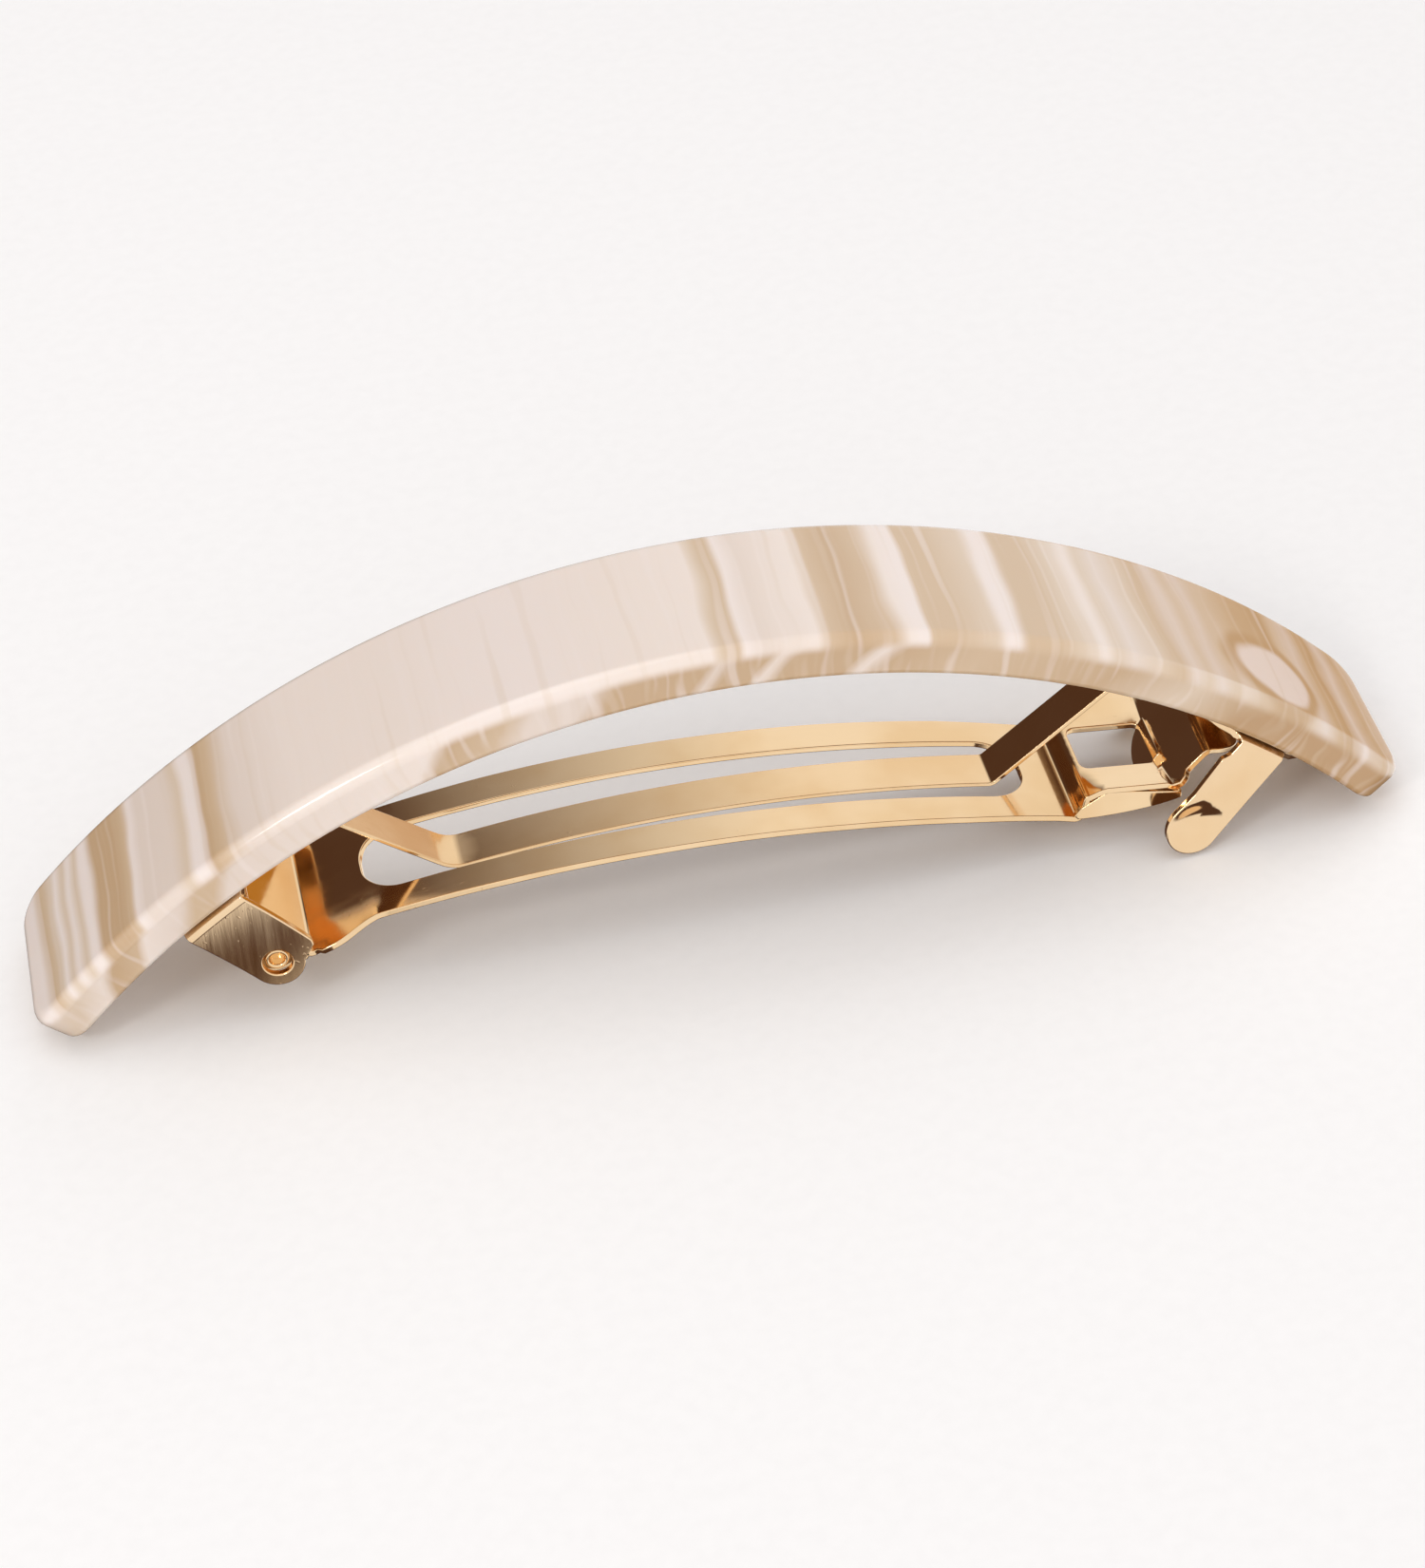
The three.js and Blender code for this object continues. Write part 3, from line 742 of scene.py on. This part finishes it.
def ear_outline():
    lobe = circle_points(PIVOT_X, PIVOT_Z, EAR_LOBE, -135, 0, 20)
    corners = [(PIVOT_X + 2.4, PIVOT_Z + 0.95), (PIVOT_X + 2.3, PIVOT_Z + 1.35)]
    return ([(EAR_ARCS[0], FOLD_START + 0.4)] + [unfold(*p) for p in lobe + corners]
            + [(EAR_ARCS[1], FOLD_START + 0.4)])


def prong_outline():
    left_x, left_z = on_arc(PLATE_UNDER + 0.2, PRONG_ARCS[0])
    right_x, right_z = on_arc(PLATE_UNDER + 0.2, PRONG_ARCS[1])
    lean = math.degrees(math.atan2(right_x - PRONG_TIP_X - PRONG_TIP_RADIUS * 0.8,
                                   right_z - PRONG_TIP_Z))
    tip = circle_points(PRONG_TIP_X, PRONG_TIP_Z, PRONG_TIP_RADIUS, 180 - lean, 360 - lean, 24)
    side = [(left_x - 0.9, left_z - 0.85), (left_x - 1.4, left_z - 1.0), (left_x - 3.3, left_z - 3.2)]
    return ([(PRONG_ARCS[0], FOLD_START + 0.6)] + [unfold(*p) for p in side + tip]
            + [(PRONG_ARCS[1], FOLD_START + 0.3)])


plate_half = ([(-42.6, 0.01), (-42.6, 2.3), (-42.35, 3.0), (-41.7, 3.5), (-39.9, 4.4), (-39.3, 4.9)]
              + ear_outline()
              + [(-34.0, 4.9), (-33.6, 4.6), (-33.1, 4.5), (35.4, 4.5), (36.2, 4.7), (36.9, 5.15)]
              + [(37.7, 5.35)]
              + prong_outline()
              + [(42.3, 5.2), (43.2, 5.0), (45.2, 3.6), (45.8, 3.0), (46.0, 2.3), (46.0, 0.01)])
ear_hole = [unfold(*p) for p in circle_points(PIVOT_X, PIVOT_Z, EAR_HOLE, 0, 350, 35)]
plate_stations = np.arange(-42.5, 46.0, 0.8)
dimple_arc, dimple_across = unfold(DIMPLE_X, DIMPLE_Z)
plate_details = []
for side in (-1, 1):
    low, high = sorted((side * (FOLD_START - 0.15), side * (FOLD_START + 1.35)))
    for start, end in (EAR_ARCS, PRONG_ARCS):
        plate_details.append((start, end, low, high, 0.12))
    low, high = sorted((side * (dimple_across - 1.3), side * (dimple_across + 1.3)))
    plate_details.append((dimple_arc - 2.2, dimple_arc + 2.2, low, high, 0.11))
plate = sheet("base_plate_stamped",
              [mirrored_outline(plate_half), ear_hole, [(a, -b) for a, b in ear_hole]],
              place_on_plate, PLATE_THICKNESS, 0.1, plate_stations, spacing=0.7, longest=0.25,
              details=plate_details)
finish(plate, HOLDER, GOLD)
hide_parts("base_plate")


def strap(name, arc):
    """Lanced strap under the plate that holds one end of the leaf spring."""
    drop = 0.95
    corners = [(-3.3, PLATE_UNDER + 0.2), (-2.35, PLATE_UNDER - drop + 0.45),
               (2.35, PLATE_UNDER - drop + 0.45), (3.3, PLATE_UNDER + 0.2)]
    line = ([corners[0]] + soft_corner(*corners[:3], 0.5) + soft_corner(*corners[1:], 0.5) + [corners[3]])
    bridge = Profile(line)

    def place(s, across, height):
        y, radius = bridge.at(s, height)
        angle = (arc + across) / BAR_RADIUS
        return world_points(radius * np.sin(angle), y, radius * np.cos(angle) - BAR_RADIUS)

    outline = rounded_slot(0.0, bridge.length, 0.9, 0.12, 3)
    piece = sheet(name, [outline], place, 0.35, 0.08, bridge.stations(0.5), spacing=0.4)
    return finish(piece, HOLDER, GOLD)


strap("spring_strap_hinge_end", -30.8)
strap("spring_strap_catch_end", 33.0)

# ------------------------------------------------------------------ leaf spring


def strip_place(profile):
    """Placement for a strip that is bent only in the side view."""
    def place(s, across, height):
        x, z = profile.at(s, height)
        return world_points(x, across, z)
    return place


def spring_profile():
    seat = PLATE_UNDER - 0.05
    left = arc_line(seat, -34.4, -28.6, 40)
    right = arc_line(seat, 30.6, 36.6, 40)
    bow = crown_line(SPRING_CROWN, -15.6, 17.4)
    left_fold = (-17.0, crown_height(SPRING_CROWN, -17.0))
    right_fold = (18.2, crown_height(SPRING_CROWN, 18.2))
    return Profile(left + soft_corner(left[-1], left_fold, bow[0], 2.2) + bow
                   + soft_corner(bow[-1], right_fold, right[0], 0.5) + right)


leaf = spring_profile()
neck_left, neck_right = on_arc(PLATE_UNDER, -32.8)[0], on_arc(PLATE_UNDER, 35.0)[0]
leaf_half = [(leaf.x[0], 0.01), (leaf.x[0], 1.9), (leaf.x[0] + 0.3, 2.2), (neck_left, 2.2),
             (neck_left + 0.4, 1.55), (neck_right - 0.4, 1.55), (neck_right, 2.2),
             (leaf.x[-1] - 0.3, 2.2), (leaf.x[-1], 1.9), (leaf.x[-1], 0.01)]
leaf_outline = [(leaf.from_x(x), y) for x, y in mirrored_outline(leaf_half)]
leaf_piece = sheet("leaf_spring_bowed", [leaf_outline], strip_place(leaf), SPRING_THICKNESS, 0.08,
                   leaf.stations(), spacing=0.6, longest=0.5)
finish(leaf_piece, HOLDER, SPRING_GOLD)
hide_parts("leaf_spring")

# ------------------------------------------------------------------ clasp arm


def arm_profile():
    heel, hinge_bend = (-30.2, -14.55), (-26.9, -18.4)
    neck = (-22.5, crown_height(ARM_CROWN, -22.5))
    joggle = (23.1, crown_height(ARM_CROWN, 23.1))
    rails = crown_line(ARM_CROWN, -20.2, 22.2)
    head_start, head_end = (23.5, -17.7), (29.25, -18.37)
    rise_end, lip_end = (31.8, -16.35), (34.4, -17.15)
    return Profile(
        [heel] + soft_corner(heel, hinge_bend, neck, 0.3)
        + soft_corner(hinge_bend, neck, rails[0], 2.0) + rails
        + soft_corner(rails[-2], joggle, head_start, 0.35)
        + soft_corner(joggle, head_start, head_end, 0.45)
        + soft_corner(head_start, head_end, rise_end, 0.3)
        + soft_corner(head_end, rise_end, lip_end, 0.9) + [lip_end])


arm_line = arm_profile()
arm_half = ([(-30.2, 0.01), (-30.2, 5.4), (-26.5, 5.4), (-26.2, 5.7)]
            + bezier_points([(-25.6, 5.75), (-24.2, 5.75), (-23.9, 5.1), (-22.2, 5.1)], 14)
            + [(-18, 5.2), (-14, 5.3), (-5, 5.4), (8, 5.35), (16, 5.2), (19, 5.05), (21.8, 4.92),
               (23.2, 4.95), (24.5, 5.05), (29.8, 5.05), (30.15, 4.85), (30.4, 4.4), (31.8, 4.15)]
            + bezier_points([(32.4, 4.0), (33.4, 3.9), (34.35, 3.4), (34.4, 2.2)], 10)
            + [(34.4, 0.01)])


def arm_loop(points):
    return [(arm_line.from_x(x), y) for x, y in points]


def place_on_arm(s, across, height):
    """The head is a shallow channel: beside the window its edges rise."""
    x, z = arm_line.at(s, height)
    along_head = np.interp(x, (23.8, 24.8, 29.0, 29.8), (0, 1, 1, 0))
    return world_points(x, across, z + HEAD_CHANNEL * along_head * np.maximum(np.abs(across) - 2.1, 0))


arm_sheet = sheet(
    "clasp_arm_stamped",
    [arm_loop(mirrored_outline(arm_half)), arm_loop(rounded_slot(-22.8, 20.4, 2.87, 2.5, 14)),
     arm_loop(rounded_slot(24.05, 29.1, 2.1, 0.6, 6))],
    place_on_arm, ARM_THICKNESS, 0.1, arm_line.stations(), spacing=0.6, longest=0.5)
finish(arm_sheet, ARM, ARM_GOLD)
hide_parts("clasp_arm")


def side_plate(name, outline, inner, outer):
    """A flat wall in the side view, between two distances from the middle, on both sides."""
    for side, label in ((-1, "near"), (1, "far")):
        def place(x, z, height, side=side):
            return world_points(x, side * (outer + height), z)
        piece = sheet(f"{name}_{label}", [outline], place, outer - inner, 0.1, spacing=0.4, longest=0.25)
        finish(piece, ARM, ARM_GOLD)


hinge_tab = ([(-26.9, -18.55), (-29.5, -15.5), (-30.15, -16.1)]
             + circle_points(PIVOT_X, PIVOT_Z, 1.5, 180, 270, 12) + [(-27.2, -18.95)])
side_plate("arm_hinge_tab", hinge_tab, 4.9, 5.4)
head_wall = (bezier_points([(23.0, -19.5), (24.2, -19.65), (27.5, -19.8), (29.9, -19.2)], 16)
             + [(29.9, -18.7), (25.0, -17.65), (23.2, -18.65), (22.75, -19.2)])
side_plate("arm_head_wall", head_wall, 4.6, 5.05)

tab_line = Profile([(29.62, -18.05), (29.3, -18.5), (28.65, -20.75)])
tab_half, tab_straight, tab_end = 1.95, 1.3, tab_line.length
tab_outline = ([(0.0, tab_half), (0.0, -tab_half), (tab_straight, -tab_half)]
               + bezier_points([(tab_straight, -tab_half), (2.4, -tab_half), (tab_end, -1.0),
                                (tab_end, 0.0)], 10)[1:]
               + bezier_points([(tab_end, 0.0), (tab_end, 1.0), (2.4, tab_half),
                                (tab_straight, tab_half)], 10)[1:])
thumb = sheet("arm_thumb_tab", [tab_outline], strip_place(tab_line), ARM_THICKNESS, 0.1,
              tab_line.stations(0.5), spacing=0.4, longest=0.3)
finish(thumb, ARM, ARM_GOLD)

pip_section = ([(0.48, 0.0), (0.78, 0.0), (0.78, 0.9)] + circle_points(0.63, 0.9, 0.15, 0, 180, 8)[1:])
for side, label in ((-1, "near"), (1, "far")):
    pip = turned(f"arm_hinge_pip_{label}", pip_section, PIVOT_X, PIVOT_Z, side * 5.0, side)
    finish(pip, ARM, ARM_GOLD)

# ------------------------------------------------------------------ floor, light and camera

floor_mesh = bpy.data.meshes.new("floor")
floor_mesh.from_pydata([(-3, -3, 0), (3, -3, 0), (3, 3, 0), (-3, 3, 0)], [], [(0, 1, 2, 3)])
floor_mesh.materials.append(floor_material())
floor = bpy.data.objects.new("floor", floor_mesh)
floor.location.z = -0.0002
bpy.context.scene.collection.objects.link(floor)
floor.visible_glossy = False


WHITE_SURROUNDINGS = (0.97, 0.95, 0.95, 1)
DARK_BROWN = (0.085, 0.045, 0.03, 1)
WARM_BROWN = (0.48, 0.22, 0.04, 1)


def studio_world():
    """White surroundings with a few brown parts, which give the gold its dark faces."""
    world = bpy.data.worlds.new("studio")
    bpy.context.scene.world = world
    world.use_nodes = True
    n = Nodes(world.node_tree)
    split = n.add("ShaderNodeSeparateXYZ")
    n.link(n.add("ShaderNodeTexCoord").outputs["Generated"], split.inputs[0])
    x, y, z = split.outputs

    # The wall at the back darkens towards the left, and the rails mirror it.
    left = n.map_range(x, 0.24, -0.15, smooth=False)
    behind = n.map_range(y, 0.1, 0.3)
    low = n.map_range(z, 0.84, 0.70)
    wall = n.math("MULTIPLY", n.math("MULTIPLY", left, behind), low)

    # A dark patch low at the front left is for the hinge ears, and one straight below for the dimples.
    front_left = n.math("MULTIPLY", n.map_range(x, -0.001, -0.018), n.map_range(y, -0.3, -0.5))
    low_front = n.math("MULTIPLY", front_left, n.map_range(z, -0.42, -0.54))
    below = n.map_range(z, -0.70, -0.80)
    dark = n.math("MAXIMUM", wall, n.math("MAXIMUM", low_front, below))
    colour = n.mix(dark, WHITE_SURROUNDINGS, DARK_BROWN)

    # A brown card low at the back right is for the arm's heel.
    back_right = n.math("MULTIPLY", n.map_range(x, 0.40, 0.50), n.map_range(y, 0.4, 0.55))
    low_band = n.math("MULTIPLY", n.map_range(z, -0.45, -0.30), n.map_range(z, 0.20, 0.05))
    colour = n.mix(n.math("MULTIPLY", back_right, low_band), colour, WARM_BROWN)

    background = n.add("ShaderNodeBackground")
    n.link(colour, background.inputs[0])
    background.inputs[1].default_value = 1.0
    n.link(background.outputs[0], n.add("ShaderNodeOutputWorld").inputs[0])


def soft_box(name, direction, distance, size, power, colour=(1.0, 0.98, 0.95)):
    light = bpy.data.lights.new(name, "AREA")
    light.shape = "RECTANGLE"
    light.size, light.size_y = size
    light.energy = power
    light.color = colour
    box = bpy.data.objects.new(name, light)
    aim = Vector((0.0, 0.0, 0.012))
    towards = Vector(direction).normalized()
    box.location = aim + towards * distance
    box.rotation_euler = towards.to_track_quat("Z", "Y").to_euler()
    bpy.context.scene.collection.objects.link(box)


studio_world()
soft_box("edge_light", (-0.57, -0.56, 0.6), 0.6, (0.12, 0.12), 0.5)
soft_box("top_softbox", (-0.2, 0.1, 1.0), 0.7, (0.5, 0.4), 0.5)


def photo_camera():
    azimuth, elevation, roll = (math.radians(a) for a in (-8.58, 39.34, -4.85))
    distance, shift_right, shift_up = 260.0, 1.211, -11.705
    back = Vector((math.sin(azimuth) * math.cos(elevation),
                   -math.cos(azimuth) * math.cos(elevation), math.sin(elevation)))
    right = (-back).cross(Vector((0, 0, 1))).normalized()
    up = right.cross(-back)
    tilted_right = right * math.cos(roll) + up * math.sin(roll)
    tilted_up = up * math.cos(roll) - right * math.sin(roll)
    place = tilted_right * shift_right + tilted_up * shift_up + back * distance
    place.z += APEX_HEIGHT
    data = bpy.data.cameras.new("photo_camera")
    data.sensor_width = 36.0
    data.lens = 4432.983 / 1650 * 36.0
    data.clip_start, data.clip_end = 0.01, 20.0
    camera = bpy.data.objects.new("photo_camera", data)
    turn = Matrix((tilted_right, tilted_up, back)).transposed()
    camera.matrix_world = Matrix.Translation(place / 1000) @ turn.to_4x4()
    bpy.context.scene.collection.objects.link(camera)
    bpy.context.scene.camera = camera


photo_camera()
bpy.context.scene.view_settings.view_transform = "Standard"
bpy.context.scene.view_settings.exposure = 0.0
